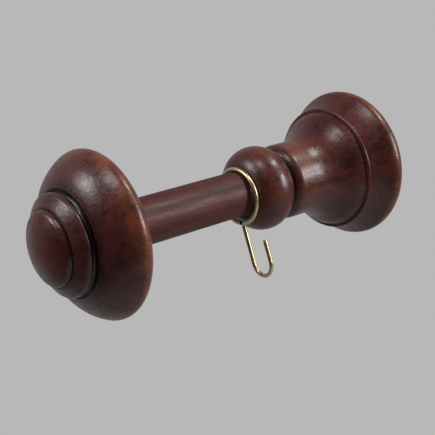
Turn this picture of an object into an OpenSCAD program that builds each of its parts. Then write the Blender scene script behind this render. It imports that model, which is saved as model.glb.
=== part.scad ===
// Turned wooden curtain holdback with a loose brass ring hook.
// Millimetres, +Z up. The origin is the centre of the face that meets the wall.
// The post runs along -Y, away from the wall, and the ring hook hangs plumb from it.

/* [Base] */
// Largest diameter of the flange at the wall
flange_d = 65; // [60:0.5:72]
// Diameter of the sharp ridge between flange and bell
ridge_d = 54; // [53.2:0.2:55]
// Distance of the ridge from the wall
ridge_y = 15.4; // [14.4:0.1:16]
// Diameter of the neck behind the bead
neck_d = 32.2; // [30:0.2:34]
// Diameter of the bead in front of the neck
bead_d = 35.8; // [34:0.2:38]
// Distance of the bead's widest circle from the wall
bead_y = 56.5; // [55:0.5:60]

/* [Post] */
// Diameter of the plain dowel post
post_d = 19; // [17:0.5:20]
// Length of post seen between bead and finial
post_reach = 64.8; // [40:0.2:90]

/* [Finial] */
// Largest diameter of the finial's disc
disc_d = 66; // [62:0.5:76]
// Diameter of the collar in front of the disc
collar_d = 40; // [39:0.2:42]
// Diameter of the button dome
dome_d = 29.2; // [28:0.2:30]
// Height of the button dome
dome_h = 5.6; // [5:0.1:9]

/* [Ring hook] */
// Diameter of the brass wire
wire_d = 1.8; // [1.4:0.1:2.2]
// Inner diameter of the ring
ring_bore = 21.2; // [20.4:0.2:26]
// Height from the ring's centre down to the centre of the lowest bend
shank_drop = 29.2; // [24:0.2:40]
// Distance between the shank and the return leg, centre to centre
hook_gap = 10.8; // [8:0.2:14]
// Length of the hook's straight return leg
return_leg = 9; // [4:0.5:14]

/* [Fixings] */
// Diameter of the hanger bolt's wood thread, in the wall
bolt_d = 6; // [5:0.5:7]
// Diameter of the hanger bolt's machine thread, in the base
stud_d = 5.4; // [4.4:0.2:6.4]
// Length of hanger bolt that goes into the wall
bolt_in_wall = 30; // [20:1:50]

/* [Hidden] */
$fn = 96;
eps = 0.01;
run_gap = 0.05;
air = 0.4;

// Outlines are drawn as [radius, distance from the wall].
nose_r = 4;
nose = [flange_d / 2 - nose_r, 2.8];
band_r = 30;
band_foot = 23.5;
ridge_r = 0.6;
ridge_step = 0.85;
shoulder_r = 12;
shoulder = [ridge_d / 2 - ridge_step - shoulder_r, 12.4];
neck_cove_r = 22.5;
neck_round_r = 5;
neck_end = 43.5;
bead_r = 10.3;
bead = [bead_d / 2 - bead_r, bead_y];
bead_front = bead_y + sqrt(pow(bead_r, 2) - pow(post_d / 2 - bead[0], 2));
post_seat = 14;

post_end = bead_front + post_reach;
finial_seat = 9;
disc_y = post_end + 7.2;
rim_r = 4;
rim = [disc_d / 2 - rim_r, disc_y];
disc_back_lean = 50;
disc_back_r = (disc_y - post_end - rim_r * sin(disc_back_lean)) / (1 - sin(disc_back_lean));
disc_front_r = 22;
disc_front_lean = 25;
groove_r = 1.7;
groove = [19.4, disc_y + 13.4];
collar_r = 2.1;
collar = [collar_d / 2 - collar_r, disc_y + 15.2];
lip_r = 1.6;
lip = [14.9, disc_y + 17.9];
dome_y = disc_y + 19.7;
tip_y = dome_y + dome_h;
dome_edge_r = 2.5;
dome_edge = [dome_d / 2 - dome_edge_r, dome_y];
dome_r = (pow(dome_edge[0], 2) + pow(dome_h, 2) - pow(dome_edge_r, 2))
    / (2 * (dome_h - dome_edge_r));

ring_r = (ring_bore + wire_d) / 2;
ring_z = -(ring_bore - post_d) / 2 + run_gap;
ring_y = bead_front + wire_d / 2 + air;
wire_bend_r = 1.3;
bend_z = -ring_r - wire_bend_r;
ring_end_gap = 13;

insert_d = 9;
insert_length = 13;
insert_rim_d = 12;
insert_rim = 1.2;
bolt_in_base = 18;
bolt_point = 5;
point_d = 0.8;
bolt_clear = 2;
screw_d = 4.5;
screw_length = 34;
screw_point = 4;

// The point that lies d away from a on the way to b
function toward(a, b, d) = a + (b - a) * d / norm(b - a);

// Centre of an arc inside the big circle that touches the small circle from outside
function inner_touch(c, small_r, big_r, lean) =
    c - (big_r - small_r) * [cos(abs(lean)), sin(lean)];

// Centre of a hollow arc that touches the circle round v and comes in to the radius foot
function hollow_centre(v, v_r, c_r, foot) =
    [foot + c_r, v[1] + sqrt(pow(v_r + c_r, 2) - pow(foot + c_r - v[0], 2))];

// Turns an outline about the post's axis, with its distances along -Y
module turned() {
    rotate([90, 0, 0]) rotate_extrude() children();
}

// A round rod on the post's axis; distances are measured away from the wall
module axis_rod(d, from, to) {
    translate([0, -from, 0]) rotate([90, 0, 0]) cylinder(d = d, h = to - from);
}

// A cone on the post's axis
module axis_cone(d_from, d_to, from, to) {
    translate([0, -from, 0]) rotate([90, 0, 0]) cylinder(d1 = d_from, d2 = d_to, h = to - from);
}

// Outline that leaves the circle round v and follows a hollow arc down to its foot
module hollow(v, v_r, c_r, foot) {
    c = hollow_centre(v, v_r, c_r, foot);
    difference() {
        polygon([[0, v[1]], v, toward(v, c, v_r), c, [0, c[1]]]);
        translate(c) circle(c_r);
    }
}

module flange_outline() {
    intersection() {
        union() {
            translate(nose) circle(nose_r);
            square([nose[0], nose[1]]);
            hollow(nose, nose_r, band_r, band_foot);
        }
        square([flange_d, ridge_y]);
    }
}

// The rounded lip that parts the flange from the bell
module ridge_outline() {
    edge = ridge_d / 2 - ridge_r;
    translate([edge, ridge_y]) circle(ridge_r);
    translate([shoulder[0], ridge_y - ridge_r]) square([edge - shoulder[0], ridge_r * 2]);
}

module bell_outline() {
    cove = hollow_centre(shoulder, shoulder_r, neck_cove_r, neck_d / 2);
    square([shoulder[0], cove[1]]);
    intersection() {
        translate(shoulder) circle(shoulder_r);
        translate([0, ridge_y - eps]) square([ridge_d, shoulder_r * 2]);
    }
    hollow(shoulder, shoulder_r, neck_cove_r, neck_d / 2);
    translate([0, cove[1] - eps]) square([neck_d / 2, neck_end - cove[1] + eps]);
}

module bead_outline() {
    translate([neck_d / 2 - neck_round_r, neck_end]) circle(neck_round_r);
    translate([0, neck_end - eps]) square([neck_d / 2 - neck_round_r, bead_y - neck_end]);
    intersection() {
        translate(bead) circle(bead_r);
        square([bead_d, bead_front]);
    }
    translate([0, bead_y - bead_r / 2]) square([bead[0] + eps, bead_front - bead_y + bead_r / 2]);
}

module base() {
    color("saddlebrown") difference() {
        turned() {
            flange_outline();
            ridge_outline();
            bell_outline();
            bead_outline();
        }
        axis_rod(post_d, bead_front - post_seat, bead_front + eps);
        axis_rod(insert_rim_d, -eps, insert_rim);
        axis_rod(insert_d, -eps, insert_length);
        axis_rod(stud_d + 2 * air, insert_length - eps, bolt_in_base + bolt_clear);
    }
}

module post() {
    color("sienna") difference() {
        axis_rod(post_d, bead_front - post_seat, post_end + finial_seat);
        axis_rod(screw_d, post_end + finial_seat - screw_length / 2, post_end + finial_seat + eps);
    }
}

// Rounded rim with a full, curved front and a steeper back
module disc_outline() {
    front_c = inner_touch(rim, rim_r, disc_front_r, disc_front_lean);
    back_c = inner_touch(rim, rim_r, disc_back_r, -disc_back_lean);
    front_ray = toward(front_c, rim, disc_front_r * 2);
    back_ray = toward(back_c, rim, disc_back_r * 2);
    translate(rim) circle(rim_r);
    intersection() {
        translate(front_c) circle(disc_front_r);
        polygon([[0, disc_y], rim, front_ray, [0, collar[1]]]);
    }
    intersection() {
        translate(back_c) circle(disc_back_r);
        polygon([[0, post_end], back_ray, rim, [0, disc_y]]);
    }
    translate([0, post_end]) square([back_c[0], disc_y - post_end + eps]);
}

// A cone between two rounded edges; the groove cuts in behind it
module collar_outline() {
    slope = acos((collar_r - lip_r) / norm(lip - collar));
    out = atan2(lip[1] - collar[1], lip[0] - collar[0]) - slope;
    normal = [cos(out), sin(out)];
    translate(collar) circle(collar_r);
    translate(lip) circle(lip_r);
    polygon([collar, collar + normal * collar_r, lip + normal * lip_r, lip, [0, lip[1]], [0, collar[1]]]);
    translate([0, disc_y]) square([collar[0], collar[1] - disc_y + eps]);
    translate([0, collar[1]]) square([lip[0], lip[1] - collar[1] + eps]);
}

// Disc and collar, with the deep groove between them
module grooved_outline() {
    difference() {
        union() {
            disc_outline();
            collar_outline();
        }
        translate(groove) circle(groove_r);
    }
}

// A shallow dome with a rounded edge, on a short round wall
module dome_outline() {
    centre = [0, tip_y - dome_r];
    translate([0, lip[1]]) square([dome_d / 2, dome_y - lip[1]]);
    translate(dome_edge) circle(dome_edge_r);
    intersection() {
        translate(centre) circle(dome_r);
        polygon([[0, dome_y], dome_edge, toward(centre, dome_edge, dome_r * 2), [0, dome_r + tip_y]]);
    }
    translate([0, dome_y - eps]) square([dome_edge[0], dome_edge_r / 2]);
}

module finial() {
    color("saddlebrown") difference() {
        turned() {
            grooved_outline();
            dome_outline();
        }
        axis_rod(post_d, post_end - eps, post_end + finial_seat);
        axis_rod(screw_d, post_end, post_end + finial_seat + screw_length / 2);
    }
}

module finial_screw() {
    middle = post_end + finial_seat;
    half = screw_length / 2;
    color("silver") {
        axis_rod(screw_d, middle - half + screw_point, middle + half - screw_point);
        axis_cone(point_d, screw_d, middle - half, middle - half + screw_point);
        axis_cone(screw_d, point_d, middle + half - screw_point, middle + half);
    }
}

module threaded_insert() {
    color("goldenrod") difference() {
        union() {
            axis_rod(insert_d, 0, insert_length);
            axis_rod(insert_rim_d, 0, insert_rim);
        }
        axis_rod(stud_d + 2 * run_gap, -eps, insert_length + eps);
    }
}

module hanger_bolt() {
    color("silver") {
        axis_rod(stud_d, 0, bolt_in_base);
        axis_rod(bolt_d, -bolt_in_wall + bolt_point, 0);
        axis_cone(point_d, bolt_d, -bolt_in_wall, -bolt_in_wall + bolt_point);
    }
}

// Part of a wire ring in the plane of the hook, from one angle through a turn
module wire_arc(bend_r, from, turn) {
    rotate([90, 0, 0]) rotate([0, 0, from])
        rotate_extrude(angle = turn) translate([bend_r, 0]) circle(d = wire_d, $fn = 32);
}

module wire_leg(x, z_low, z_high) {
    translate([x, 0, z_low]) cylinder(d = wire_d, h = z_high - z_low, $fn = 32);
}

module ring_hook() {
    color("gold") translate([0, -ring_y, ring_z]) {
        wire_arc(ring_r, -90, 360 - ring_end_gap);
        translate([0, 0, bend_z]) wire_arc(wire_bend_r, 90, 90);
        wire_leg(-wire_bend_r, -shank_drop, bend_z);
        translate([hook_gap / 2 - wire_bend_r, 0, -shank_drop]) wire_arc(hook_gap / 2, 180, 180);
        wire_leg(hook_gap - wire_bend_r, -shank_drop, -shank_drop + return_leg);
    }
}

base();
post();
finial();
ring_hook();
threaded_insert();
hanger_bolt();
finial_screw();
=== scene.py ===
"""Looks of a turned wooden curtain holdback with a loose brass ring hook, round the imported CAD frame."""
import math

import bpy
from mathutils import Matrix, Vector


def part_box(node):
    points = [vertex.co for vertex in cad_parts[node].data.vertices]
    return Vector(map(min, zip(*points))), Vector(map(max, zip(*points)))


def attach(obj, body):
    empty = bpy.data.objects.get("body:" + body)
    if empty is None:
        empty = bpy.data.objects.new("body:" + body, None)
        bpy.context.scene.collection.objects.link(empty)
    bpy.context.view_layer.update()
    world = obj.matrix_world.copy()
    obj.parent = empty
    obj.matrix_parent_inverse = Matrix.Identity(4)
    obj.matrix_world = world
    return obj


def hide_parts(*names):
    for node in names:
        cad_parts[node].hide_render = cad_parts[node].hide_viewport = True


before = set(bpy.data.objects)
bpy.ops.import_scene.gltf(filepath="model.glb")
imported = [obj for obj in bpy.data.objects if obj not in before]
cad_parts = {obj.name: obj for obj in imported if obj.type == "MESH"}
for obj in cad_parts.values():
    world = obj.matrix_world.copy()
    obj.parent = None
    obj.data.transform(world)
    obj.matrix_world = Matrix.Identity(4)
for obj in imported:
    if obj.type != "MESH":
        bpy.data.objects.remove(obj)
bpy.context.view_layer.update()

MM = 0.001
TURNS = 192

# ------------------------------------------------------------------ sizes
# Lengths are in millimetres. Outlines are lists of (radius, distance from the wall along the post).
flange_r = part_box("base")[1].x / MM
bead_front = -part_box("base")[0].y / MM
post_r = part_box("post")[1].x / MM
disc_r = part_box("finial")[1].x / MM
disc_back = -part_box("finial")[1].y / MM
tip = -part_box("finial")[0].y / MM
post_start = -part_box("post")[1].y / MM
post_stop = -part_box("post")[0].y / MM

nose_r = 4.0
nose = (flange_r - nose_r, 2.8)
band_r = 30.0
band_foot = 23.5
ridge_r = 0.6
ridge = (26.4, 15.4)
shoulder_r = 12.0
shoulder = (14.15, 12.4)
cove_r = 22.5
neck_r = 16.1
neck_round_r = 5.0
neck_round = (neck_r - neck_round_r, 43.5)
bead_r = 10.3
bead = (7.6, 56.5)

rim_r = 4.0
rim = (disc_r - rim_r, disc_back + 7.2)
disc_back_lean = 50
disc_back_r = 17.68
disc_front_r = 22.0
disc_front_lean = 25
groove_r = 1.7
groove = (19.4, rim[1] + 13.4)
collar_r = 2.1
collar = (17.9, rim[1] + 15.2)
lip_r = 1.6
lip = (14.9, rim[1] + 17.9)
dome_r = 14.6
dome_y = rim[1] + 19.7
dome_edge_r = 2.5

insert_rim_r = 6.0
insert_rim = 1.2
insert_r = 4.5
insert_length = 13.0
stud_r = 2.7
stud_end = 18.0
wall_end = 30.0
bolt_r = 3.0
screw_r = 2.25

snug = 0.02
gap = 0.05
air = 0.4


# ------------------------------------------------------------------ outlines
def toward(a, b):
    """Direction from a to b, in degrees, where 0 is outwards and 90 is away from the wall."""
    return math.degrees(math.atan2(b[1] - a[1], b[0] - a[0]))


def arc(centre, radius, start, end, step=4.0):
    """Points on an arc from angle start to angle end, in degrees."""
    count = max(2, math.ceil(abs(end - start) / step))
    angles = [math.radians(start + (end - start) * i / count) for i in range(count + 1)]
    return [(centre[0] + radius * math.cos(a), centre[1] + radius * math.sin(a)) for a in angles]


def hollow_centre(v, v_r, c_r, foot):
    """Centre of a hollow arc that touches the circle round v and comes in to the radius foot."""
    r = foot + c_r
    return (r, v[1] + math.sqrt((v_r + c_r) ** 2 - (r - v[0]) ** 2))


def inner_touch(c, small_r, big_r, lean):
    """Centre of a big circle that the small circle round c touches from inside."""
    a = math.radians(lean)
    return (c[0] - (big_r - small_r) * math.cos(a), c[1] - (big_r - small_r) * math.sin(a))


def meet(a, a_r, b, b_r):
    """The outer point where two circles cross."""
    d = math.dist(a, b)
    along = (a_r ** 2 - b_r ** 2 + d ** 2) / (2 * d)
    off = math.sqrt(max(a_r ** 2 - along ** 2, 0))
    u = ((b[0] - a[0]) / d, (b[1] - a[1]) / d)
    p = (a[0] + u[0] * along, a[1] + u[1] * along)
    return max((p[0] + s * u[1] * off, p[1] - s * u[0] * off) for s in (1, -1))


def base_outline():
    """Insert hole, wall face, nose, band, ridge, bell, neck, bead and post socket."""
    band = hollow_centre(nose, nose_r, band_r, band_foot)
    cove = hollow_centre(shoulder, shoulder_r, cove_r, neck_r)
    crease = meet(neck_round, neck_round_r, bead, bead_r)
    nose_start = -math.degrees(math.asin(nose[1] / nose_r))
    band_end = 180 + math.degrees(math.asin((band[1] - ridge[1] + ridge_r) / band_r))
    bead_end = math.degrees(math.asin((bead_front - bead[1]) / bead_r))
    hole_end = stud_end + 2
    chamfer = 0.3
    points = [(0, hole_end), (stud_r + air, hole_end), (stud_r + air, insert_length)]
    points += [(insert_r + snug, insert_length), (insert_r + snug, insert_rim)]
    recess_r = insert_rim_r + gap
    points += [(recess_r, insert_rim), (recess_r, chamfer), (recess_r + chamfer, 0)]
    points += arc(nose, nose_r, nose_start, toward(nose, band))
    points += arc(band, band_r, 180 + toward(nose, band), band_end, 1.5)[1:]
    shoulder_start = math.degrees(math.asin((ridge[1] + ridge_r - shoulder[1]) / shoulder_r))
    points += arc(ridge, ridge_r, -90, 90, 12)
    points += arc(shoulder, shoulder_r, shoulder_start, toward(shoulder, cove), 2.5)
    points += arc(cove, cove_r, 180 + toward(shoulder, cove), 180, 1.5)[1:]
    points += arc(neck_round, neck_round_r, 0, toward(neck_round, crease))
    points += arc(bead, bead_r, toward(bead, crease), bead_end, 3)[1:]
    points += [(post_r + gap, bead_front), (post_r + gap, post_start), (0, post_start)]
    return points


def finial_outline():
    """Post socket, disc back, rim, rounded front, groove, collar, crease and dome."""
    back = inner_touch(rim, rim_r, disc_back_r, -disc_back_lean)
    front = inner_touch(rim, rim_r, disc_front_r, disc_front_lean)
    edge = (dome_r - dome_edge_r, dome_y)
    dome_h = tip - dome_y
    ball_r = (edge[0] ** 2 + dome_h ** 2 - dome_edge_r ** 2) / (2 * (dome_h - dome_edge_r))
    ball = (0, tip - ball_r)
    low, high = meet(front, disc_front_r, groove, groove_r), meet(groove, groove_r, collar, collar_r)
    slope = toward(collar, lip) - math.degrees(math.acos((collar_r - lip_r) / math.dist(collar, lip)))
    crease = (dome_r, lip[1] + math.sqrt(lip_r ** 2 - (dome_r - lip[0]) ** 2))
    points = [(0, post_stop), (post_r + gap, post_stop), (post_r + gap, disc_back)]
    points += arc(back, disc_back_r, -90, -disc_back_lean, 2.5)
    points += arc(rim, rim_r, -disc_back_lean, disc_front_lean)[1:]
    points += arc(front, disc_front_r, disc_front_lean, toward(front, low), 2)[1:]
    points += arc(groove, groove_r, toward(groove, low) % 360, toward(groove, high) % 360, 15)[1:]
    points += arc(collar, collar_r, toward(collar, high), slope, 5)[1:]
    points += arc(lip, lip_r, slope, toward(lip, crease), 7)
    points += [(dome_r, (crease[1] + dome_y) / 2), (dome_r, dome_y)]
    points += arc(edge, dome_edge_r, 0, toward(ball, edge), 5)[1:]
    points += arc(ball, ball_r, toward(ball, edge), 90, 1.2)[1:]
    return points


def post_outline():
    """Plain dowel with small chamfers on its hidden ends."""
    chamfer = 0.8
    points = [(0, post_start), (post_r - chamfer, post_start), (post_r, post_start + chamfer)]
    steps = 40
    reach = post_stop - post_start - 2 * chamfer
    points += [(post_r, post_start + chamfer + reach * (i + 1) / steps) for i in range(steps)]
    points += [(post_r - chamfer, post_stop), (0, post_stop)]
    return points


def bends(points):
    """Sharpness of the outline at each point, per millimetre: positive on edges, negative in grooves."""
    raw, way = [0.0] * len(points), [0.0]
    for a, b in zip(points, points[1:]):
        way.append(way[-1] + math.dist(a, b))
    for i in range(1, len(points) - 1):
        a, b, c = points[i - 1:i + 2]
        raw[i] = math.radians((toward(b, c) - toward(a, b) + 180) % 360 - 180)
    reach = 1.1
    soft = []
    for here in way:
        total = 0
        for turn, there in zip(raw, way):
            if abs(there - here) < 3 * reach:
                total += turn * math.exp(-((there - here) / reach) ** 2)
        soft.append(total / (reach * math.sqrt(math.pi)))
    return soft


# ------------------------------------------------------------------ meshes
def add_mesh(name, verts, faces, smooth=True, **marks):
    """A mesh object; marks are lists of one value per vertex, stored as attributes."""
    data = bpy.data.meshes.new(name)
    data.from_pydata(verts, [], faces)
    for mark, values in marks.items():
        data.attributes.new(mark, "FLOAT", "POINT").data.foreach_set("value", values)
    data.polygons.foreach_set("use_smooth", [smooth] * len(data.polygons))
    data.update()
    obj = bpy.data.objects.new(name, data)
    bpy.context.scene.collection.objects.link(obj)
    return obj


def near(places, r, s):
    """How strongly places, listed as (radius, distance, reach, amount), act on an outline point."""
    pulls = [m * math.exp(-(math.dist((r, s), (x, y)) / reach) ** 2) for x, y, reach, m in places]
    return max(pulls, default=0)


def lathe(name, points, worn_and_lit=(), unshaded=(), dark=(), crisp=30.0):
    """The outline turned about the post's axis, with lighter places, partly scuffed by use and partly painted
    light, and places of painted shade.

    Grooves get painted shade by themselves, except in unshaded places; the places listed in dark add painted
    shade. Corners sharper than crisp degrees stay crisp.
    """
    verts, faces, wear, dip, rows = [], [], [], [], []
    for (r, s), bend in zip(points, bends(points)):
        ring = TURNS if r > 0 else 1
        rows.append((len(verts), ring))
        for i in range(ring):
            a = 2 * math.pi * i / TURNS
            verts.append((r * MM * math.cos(a), -s * MM, r * MM * math.sin(a)))
        # Lighter tone on edges and rings: partly scuffing from use, partly painted light where lamps catch
        # them.
        wear += [near(worn_and_lit, r, s)] * ring
        # Painted shade: concave bends and the dark places darken, less so in unshaded places.
        dip += [min(max(-bend, 0) * (1 - near(unshaded, r, s)) + near(dark, r, s), 1)] * ring
    for (low, low_n), (high, high_n) in zip(rows, rows[1:]):
        for i in range(TURNS):
            j = (i + 1) % TURNS
            face = [low + i, low + j, high + j, high + i]
            if low_n == 1:
                face = [low, high + j, high + i]
            if high_n == 1:
                face = [low + i, low + j, high]
            faces.append(face)
    obj = add_mesh(name, verts, faces, wear=wear, dip=dip)
    obj.data.set_sharp_from_angle(angle=math.radians(crisp))
    return obj


def threaded(name, stations, pitch, flat=0.25):
    """A threaded rod on the post's axis. stations hold (distance, core radius, crest radius)."""
    steps = 14
    start, stop = stations[0][0], stations[-1][0]
    count = math.ceil((stop - start) / pitch * steps)
    turns = 48
    verts, faces = [(0, -start * MM, 0)], []
    for k in range(count + 1):
        s = start + (stop - start) * k / count
        low, high = next((a, b) for a, b in zip(stations, stations[1:]) if s <= b[0] + 1e-6)
        mix = (s - low[0]) / (high[0] - low[0])
        core = low[1] + (high[1] - low[1]) * mix
        crest = low[2] + (high[2] - low[2]) * mix
        for i in range(turns):
            phase = (s / pitch - i / turns) % 1
            rise = max(0, 1 - abs(phase * 2 - 1) / (1 - flat))
            r = (core + (crest - core) * rise) * MM
            a = 2 * math.pi * i / turns
            verts.append((r * math.cos(a), -s * MM, r * math.sin(a)))
    verts.append((0, -stop * MM, 0))
    for k in range(count):
        for i in range(turns):
            a, b = 1 + k * turns + i, 1 + k * turns + (i + 1) % turns
            faces.append([a, b, b + turns, a + turns])
    last = len(verts) - 1
    for i in range(turns):
        j = (i + 1) % turns
        faces.append([0, 1 + j, 1 + i])
        faces.append([last, last - turns + i, last - turns + j])
    obj = add_mesh(name, verts, faces)
    obj.data.set_sharp_from_angle(angle=math.radians(40))
    return obj


def wire(name, path, radius):
    """A round wire along a path in the plane of the hook, with softly cut ends. path is in metres."""
    turns = 28
    cut = 0.22 * radius
    verts, faces, end_mark = [], [], []
    spots = [(path[0], 0.8), *[(p, 1.0) for p in path], (path[-1], 0.8)]
    for k, (p, scale) in enumerate(spots):
        here = min(max(k - 1, 0), len(path) - 1)
        along = (path[min(here + 1, len(path) - 1)] - path[max(here - 1, 0)]).normalized()
        out = along.cross(Vector((0, 1, 0)))
        centre = p + along * {0: -cut, len(spots) - 1: cut}.get(k, 0)
        for i in range(turns):
            a = 2 * math.pi * i / turns
            verts.append(centre + (out * math.cos(a) + Vector((0, 1, 0)) * math.sin(a)) * radius * scale)
        end_mark += [1.0 if k in (0, len(spots) - 1) else 0.0] * turns
    for k in range(len(spots) - 1):
        for i in range(turns):
            j = (i + 1) % turns
            faces.append([k * turns + i, (k + 1) * turns + i, (k + 1) * turns + j, k * turns + j])
    faces.append(list(range(turns)))
    faces.append(list(range(len(verts) - 1, len(verts) - turns - 1, -1)))
    obj = add_mesh(name, verts, faces, cut=end_mark)
    obj.data.set_sharp_from_angle(angle=math.radians(50))
    return obj


def hook_path():
    """Ring, bend, shank, lowest bend and return leg of the ring hook, in metres."""
    low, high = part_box("ring_hook")
    wire_r = (high.y - low.y) / 2
    plane = (low.y + high.y) / 2
    ring_r = (high.x - low.x) / 2 - wire_r
    top = high.z - wire_r
    centre = Vector((0, plane, top - ring_r))
    bend_r = 1.3 * MM
    shank_x = -bend_r
    u_r = 5.4 * MM
    u_z = low.z + wire_r + u_r
    leg = 9 * MM

    def turn(middle, radius, start, end, step=2.5):
        """Points on an arc in the plane of the hook. A wide bend gets more of them."""
        count = math.ceil(abs(end - start) * radius / (math.radians(step) * 16 * MM)) + 4
        angles = [math.radians(start + (end - start) * i / count) for i in range(count + 1)]
        return [middle + Vector((math.cos(a), 0, math.sin(a))) * radius for a in angles]

    points = turn(centre, ring_r, 257, -90, 2)
    bend = centre - Vector((0, 0, ring_r + bend_r))
    points += turn(bend, bend_r, 90, 180)[1:]
    points += [Vector((shank_x, plane, bend.z + (u_z - bend.z) * i / 16)) for i in range(1, 17)]
    u_centre = Vector((shank_x + u_r, plane, u_z))
    points += turn(u_centre, u_r, 180, 360)[1:]
    points += [Vector((shank_x + 2 * u_r, plane, u_z + leg * i / 10)) for i in range(1, 11)]
    return points, wire_r


def insert_ring(name):
    """Flanged brass insert with a bore, two driver slots in its rim and a knurled barrel."""
    slot_half = math.radians(9)
    fine = math.radians(0.2)
    stops = []
    for side in (0, math.pi):
        stops += [side - slot_half, side - slot_half + fine, side + slot_half - fine, side + slot_half]
    even = [2 * math.pi * i / 72 - slot_half for i in range(72)]
    angles = sorted({round((a + math.tau) % math.tau, 6) for a in stops + even})
    bore = stud_r + gap
    outline = [
        (bore, insert_length), (bore, 0.35), (bore + 0.3, 0.04), (insert_rim_r - 0.25, 0.04),
        (insert_rim_r, 0.3), (insert_rim_r, insert_rim), (insert_r, insert_rim), (insert_r, insert_length),
    ]
    verts, faces = [], []
    for r, s in outline:
        for k, a in enumerate(angles):
            off = min(abs(a), abs(a - math.pi), abs(a - math.tau))
            depth = 0.7 if off < slot_half - fine / 2 and s < 0.7 else 0
            knurl = 0.12 * (k % 2) if r == insert_r else 0
            reach = (r - knurl) * MM
            verts.append((reach * math.cos(a), -(s + depth) * MM, reach * math.sin(a)))
    n = len(angles)
    for k in range(len(outline)):
        for i in range(n):
            j = (i + 1) % n
            a, b = k * n, ((k + 1) % len(outline)) * n
            faces.append([a + i, a + j, b + j, b + i])
    return add_mesh(name, verts, faces, smooth=False)


# ------------------------------------------------------------------ materials
class Nodes:
    """Small helper to build a node tree."""

    def __init__(self, tree):
        tree.nodes.clear()
        self.tree = tree

    def add(self, kind, inputs=(), **settings):
        node = self.tree.nodes.new(kind)
        for key, value in settings.items():
            setattr(node, key, value)
        for key, value in dict(inputs).items():
            if isinstance(value, bpy.types.NodeSocket):
                self.tree.links.new(value, node.inputs[key])
            else:
                node.inputs[key].default_value = value
        return node

    def noise(self, where, scale, detail=3.0, rough=0.55, distort=0.0):
        spot = {"Vector": where, "Scale": scale, "Detail": detail, "Roughness": rough, "Distortion": distort}
        return self.add("ShaderNodeTexNoise", spot).outputs["Fac"]

    def span(self, value, low, high, to_low=0.0, to_high=1.0):
        ends = {"Value": value, "From Min": low, "From Max": high, "To Min": to_low, "To Max": to_high}
        return self.add("ShaderNodeMapRange", ends, interpolation_type="SMOOTHSTEP").outputs["Result"]

    def maths(self, operation, *values):
        return self.add("ShaderNodeMath", dict(enumerate(values)), operation=operation).outputs[0]

    def mix(self, amount, a, b, blend="MIX"):
        node = self.add("ShaderNodeMix", {0: amount, 6: a, 7: b}, data_type="RGBA", blend_type=blend)
        return node.outputs[2]


def new_material(name):
    material = bpy.data.materials.new(name)
    material.use_nodes = True
    return material, Nodes(material.node_tree)


PORE = (0.004, 0.002, 0.002, 1)
# Painted shade colour laid into grooves and creases.
PAINTED_GROOVE_SHADE = (0.01, 0.0035, 0.0035, 1)


def wood(name, stain, deep, rubbed_and_lit, shine, speckle):
    """Stained, lacquered wood with its grain along the post. Scuffed edges get a lighter tone, partly from
    use and partly painted light, and grooves get painted shade.
    """
    material, n = new_material(name)
    place = n.add("ShaderNodeTexCoord").outputs["Object"]
    along = n.add("ShaderNodeMapping", {"Vector": place, "Scale": (1.0, 0.12, 1.0)}).outputs["Vector"]
    fibres = n.noise(along, 900.0, 4.0, 0.6, 0.3)
    bands = n.noise(along, 120.0, 3.0, 0.5, 0.8)
    clouds = n.noise(place, 55.0, 2.0)
    short = n.add("ShaderNodeMapping", {"Vector": place, "Scale": (1.0, 0.35, 1.0)}).outputs["Vector"]
    pores = n.noise(short, 1500.0, 2.0)
    wear = n.add("ShaderNodeAttribute", attribute_name="wear").outputs["Fac"]
    dip = n.add("ShaderNodeAttribute", attribute_name="dip").outputs["Fac"]

    colour = n.mix(n.span(bands, 0.3, 0.75, 0.1, 0.75), (*stain, 1), (*deep, 1))
    colour = n.mix(n.span(clouds, 0.4, 0.8, 0, 0.4), colour, (*deep, 1))
    # Lighter orange tone on edges and rings: partly scuffing from use, partly painted light.
    rub_and_light = n.maths("MULTIPLY", wear, n.span(n.noise(place, 130.0, 3.0, 0.6), 0.3, 0.72))
    colour = n.mix(rub_and_light, colour, (*rubbed_and_lit, 1))
    colour = n.mix(n.span(fibres, 0.5, 0.72, 0, 0.5), colour, (*deep, 1))
    colour = n.mix(n.span(pores, 0.62, 0.75, 0, speckle), colour, PORE)
    # Painted shade: grooves, creases and the listed shaded places go towards near black.
    colour = n.mix(n.span(dip, 0.06, 0.5, 0, 0.88), colour, PAINTED_GROOVE_SHADE)

    roughness = n.span(n.noise(along, 500.0, 5.0, 0.7), 0.3, 0.7, 0.5 - 0.24 * shine, 0.68 - 0.18 * shine)
    height = n.maths("ADD", n.maths("MULTIPLY", fibres, 0.5), n.maths("MULTIPLY", pores, 0.5))
    height = n.maths("ADD", height, n.maths("MULTIPLY", n.noise(place, 420.0, 2.0), 1.2))
    bump = n.add("ShaderNodeBump", {"Height": height, "Strength": 0.6, "Distance": 0.0002}).outputs["Normal"]
    shader = n.add("ShaderNodeBsdfPrincipled", {
        "Base Color": colour, "Roughness": roughness, "Normal": bump, "IOR": 1.48,
        "Coat Weight": 0.4 * shine, "Coat Roughness": 0.26, "Coat IOR": 1.5})
    n.add("ShaderNodeOutputMaterial", {"Surface": shader.outputs[0]})
    return material


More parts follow.
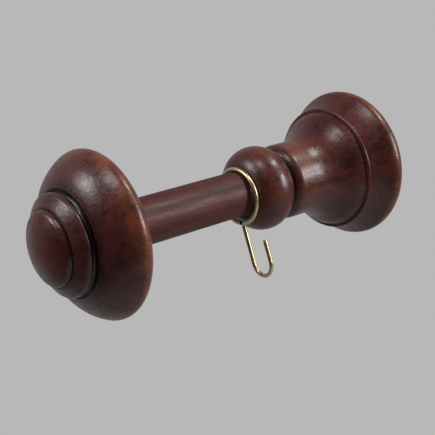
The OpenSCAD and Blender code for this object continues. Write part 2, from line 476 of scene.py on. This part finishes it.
def brass(name, colour, dull, roughness, cut_mark=True):
    """Drawn or machined brass, slightly dull in patches, with dark cut ends."""
    material, n = new_material(name)
    place = n.add("ShaderNodeTexCoord").outputs["Object"]
    patches = n.span(n.noise(place, 350.0, 3.0), 0.4, 0.7, 0, 0.7)
    tone = n.mix(patches, (*colour, 1), (*dull, 1))
    if cut_mark:
        cut = n.add("ShaderNodeAttribute", attribute_name="cut").outputs["Fac"]
        tone = n.mix(n.span(cut, 0.3, 0.9), tone, (0.05, 0.035, 0.02, 1))
    rough = n.span(n.noise(place, 500.0, 2.0), 0.3, 0.7, roughness - 0.03, roughness + 0.04)
    height = n.noise(place, 700.0, 2.0)
    bump = n.add("ShaderNodeBump", {"Height": height, "Strength": 0.03, "Distance": 0.00005})
    shader = n.add("ShaderNodeBsdfPrincipled", {
        "Base Color": tone, "Roughness": rough, "Normal": bump.outputs["Normal"], "Metallic": 1.0})
    n.add("ShaderNodeOutputMaterial", {"Surface": shader.outputs[0]})
    return material


def steel(name):
    """Bright zinc plating with a faint blue and yellow cast."""
    material, n = new_material(name)
    place = n.add("ShaderNodeTexCoord").outputs["Object"]
    cast = n.span(n.noise(place, 160.0, 3.0), 0.35, 0.65)
    tone = n.mix(cast, (0.56, 0.58, 0.62, 1), (0.62, 0.58, 0.47, 1))
    rough = n.span(n.noise(place, 700.0, 3.0), 0.3, 0.7, 0.24, 0.42)
    shader = n.add("ShaderNodeBsdfPrincipled", {"Base Color": tone, "Roughness": rough, "Metallic": 1.0})
    n.add("ShaderNodeOutputMaterial", {"Surface": shader.outputs[0]})
    return material


# ------------------------------------------------------------------ the object
turned_wood = wood(
    "turned wood", stain=(0.145, 0.027, 0.022), deep=(0.024, 0.0045, 0.0045),
    rubbed_and_lit=(0.27, 0.075, 0.028), shine=1.0, speckle=0.6)
dowel_wood = wood(
    "dowel wood", stain=(0.15, 0.029, 0.023), deep=(0.022, 0.0045, 0.0045),
    rubbed_and_lit=(0.2, 0.07, 0.04), shine=0.1, speckle=1.0)
wire_brass = brass("brass wire", (0.84, 0.7, 0.43), (0.6, 0.48, 0.28), 0.36)
insert_brass = brass("insert brass", (0.62, 0.47, 0.2), (0.42, 0.3, 0.13), 0.3, cut_mark=False)
zinc = steel("zinc plating")


def piece(obj, node, body, material):
    """Puts a mesh in the place of a CAD node, on its body, with its material."""
    obj.data.materials.append(material)
    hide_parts(node)
    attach(obj, body)


# Places on the outlines: radius, distance from the wall, reach and amount.
# Lighter places: partly scuffed edges, partly painted light on lit rings and the ridge highlight line.
base_wear = [
    (flange_r, nose[1], 3.5, 0.8), (*ridge, 1.0, 0.5),
    (neck_r, 38.0, 6.0, 0.7), (17.5, 60.0, 5.0, 0.4),
]
finial_wear = [
    (disc_r, rim[1], 5.5, 1.0), (collar[0] + collar_r, collar[1], 1.5, 0.3), (8.0, tip, 6.0, 0.25),
]
# Painted shade places: less at the ridge, extra in the neck crease and in the finial's valley by the collar.
ridge_unshaded = [(*ridge, 2.2, 0.8)]
neck_painted_shade = [(neck_r, neck_round[1] + 3.0, 2.5, 0.2)]
valley_painted_shade = [(22.0, rim[1] + 12.4, 2.2, 0.3)]

base_looks = lathe("base_looks", base_outline(), base_wear, ridge_unshaded, neck_painted_shade)
piece(base_looks, "base", "holdback", turned_wood)
piece(lathe("post_looks", post_outline()), "post", "holdback", dowel_wood)
finial_looks = lathe("finial_looks", finial_outline(), finial_wear, dark=valley_painted_shade)
piece(finial_looks, "finial", "holdback", turned_wood)
piece(wire("ring_hook_looks", *hook_path()), "ring_hook", "ring_hook", wire_brass)
piece(insert_ring("insert_looks"), "threaded_insert", "holdback", insert_brass)

wood_thread = [(-wall_end, 0.3, 0.5), (-wall_end + 7, 1.9, bolt_r), (-2, 2.1, bolt_r), (0, 2.5, 2.5)]
machine_thread = [(0, 2.5, 2.5), (1.5, 2.3, stud_r), (stud_end - 0.8, 2.3, stud_r), (stud_end, 1.9, 2.0)]
bolt = threaded("bolt_in_wall", wood_thread, pitch=2.4)
stud = threaded("bolt_in_base", machine_thread, pitch=1.0)
piece(bolt, "hanger_bolt", "wall_fixing", zinc)
piece(stud, "hanger_bolt", "wall_fixing", zinc)
screw_low, screw_high = -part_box("finial_screw")[1].y / MM, -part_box("finial_screw")[0].y / MM
screw_thread = [
    (screw_low, 0.3, 0.4), (screw_low + 4, 1.5, screw_r),
    (screw_high - 4, 1.5, screw_r), (screw_high, 0.3, 0.4),
]
screw = threaded("finial_screw_looks", screw_thread, pitch=1.8)
piece(screw, "finial_screw", "holdback", zinc)

# ------------------------------------------------------------------ camera
scene = bpy.context.scene
scene.view_settings.view_transform = "Standard"

eye = Vector((324.8, -328.7, 10.2)) * MM
gaze = Vector((-0.7946, 0.6056, -0.0420)).normalized()
roll = math.radians(-15.22)
right = gaze.cross(Vector((0, 0, 1))).normalized()
up = right.cross(gaze)
tilted_right = right * math.cos(roll) + up * math.sin(roll)
tilted_up = tilted_right.cross(gaze)
lens = bpy.data.cameras.new("camera")
lens.lens = 82.76
lens.sensor_width = 36
lens.clip_start = 0.01
camera = bpy.data.objects.new("camera", lens)
turned = Matrix((tilted_right, tilted_up, -gaze)).transposed().to_4x4()
camera.matrix_world = Matrix.Translation(eye) @ turned
scene.collection.objects.link(camera)
scene.camera = camera


# ------------------------------------------------------------------ floor and light
def softbox(name, way, distance, width, height, power, colour=(1, 1, 1)):
    """An area light that shines on the middle of the object from the direction way. Its size is in metres."""
    middle = Vector((0, -80, 0)) * MM
    data = bpy.data.lights.new(name, "AREA")
    data.shape = "RECTANGLE"
    data.size, data.size_y = width, height
    data.energy = power
    data.color = colour
    obj = bpy.data.objects.new(name, data)
    spot = middle + Vector(way).normalized() * distance
    aim = (middle - spot).to_track_quat("-Z", "Y").to_matrix().to_4x4()
    obj.matrix_world = Matrix.Translation(spot) @ aim
    scene.collection.objects.link(obj)


def in_view(x, y, z):
    """A direction given as right, up and towards the camera of the main view, in the row frame."""
    return tilted_right * x + tilted_up * y - gaze * z


softbox("key", in_view(0.9, 0.28, 0.24), distance=0.8, width=0.2, height=0.32, power=3.1)
softbox("side", in_view(-0.8, 0.48, 0.36), distance=0.8, width=0.26, height=0.26, power=2.1)
softbox("top", in_view(-0.28, 0.78, 0.56), distance=0.8, width=0.2, height=0.16, power=1.2)
amber = (1.0, 0.92, 0.82)
softbox("warm", in_view(0.5, 0.82, 0.14), distance=0.9, width=0.25, height=0.2, power=2.6, colour=amber)

floor_r = 0.5
floor_y = -0.08
floor_z = -0.4
floor_sides = 64
floor_points = []
for i in range(floor_sides):
    a = math.tau * i / floor_sides
    floor_points.append((math.cos(a) * floor_r, floor_y + math.sin(a) * floor_r, floor_z))
floor = add_mesh("floor", floor_points, [list(range(floor_sides))], smooth=False)
pale, tree = new_material("pale floor")
floor_shader = tree.add("ShaderNodeBsdfPrincipled", {"Base Color": (0.48, 0.48, 0.48, 1), "Roughness": 0.9})
tree.add("ShaderNodeOutputMaterial", {"Surface": floor_shader.outputs[0]})
floor.data.materials.append(pale)

world = bpy.data.worlds.new("studio")
world.use_nodes = True
scene.world = world
w = Nodes(world.node_tree)
direction = w.add("ShaderNodeTexCoord").outputs["Generated"]
facing = {0: direction, 1: tuple(gaze)}
behind = w.add("ShaderNodeVectorMath", facing, operation="DOT_PRODUCT").outputs["Value"]
wash = w.span(behind, -0.3, 0.75, 0.03, 0.32)
seen = w.add("ShaderNodeLightPath").outputs["Is Camera Ray"]
backdrop_grey = 0.479
strength = w.add("ShaderNodeMix", {0: seen, 2: wash, 3: backdrop_grey}).outputs[0]
backdrop = w.add("ShaderNodeBackground", {"Color": (1, 1, 1, 1), "Strength": strength})
w.add("ShaderNodeOutputWorld", {"Surface": backdrop.outputs[0]})
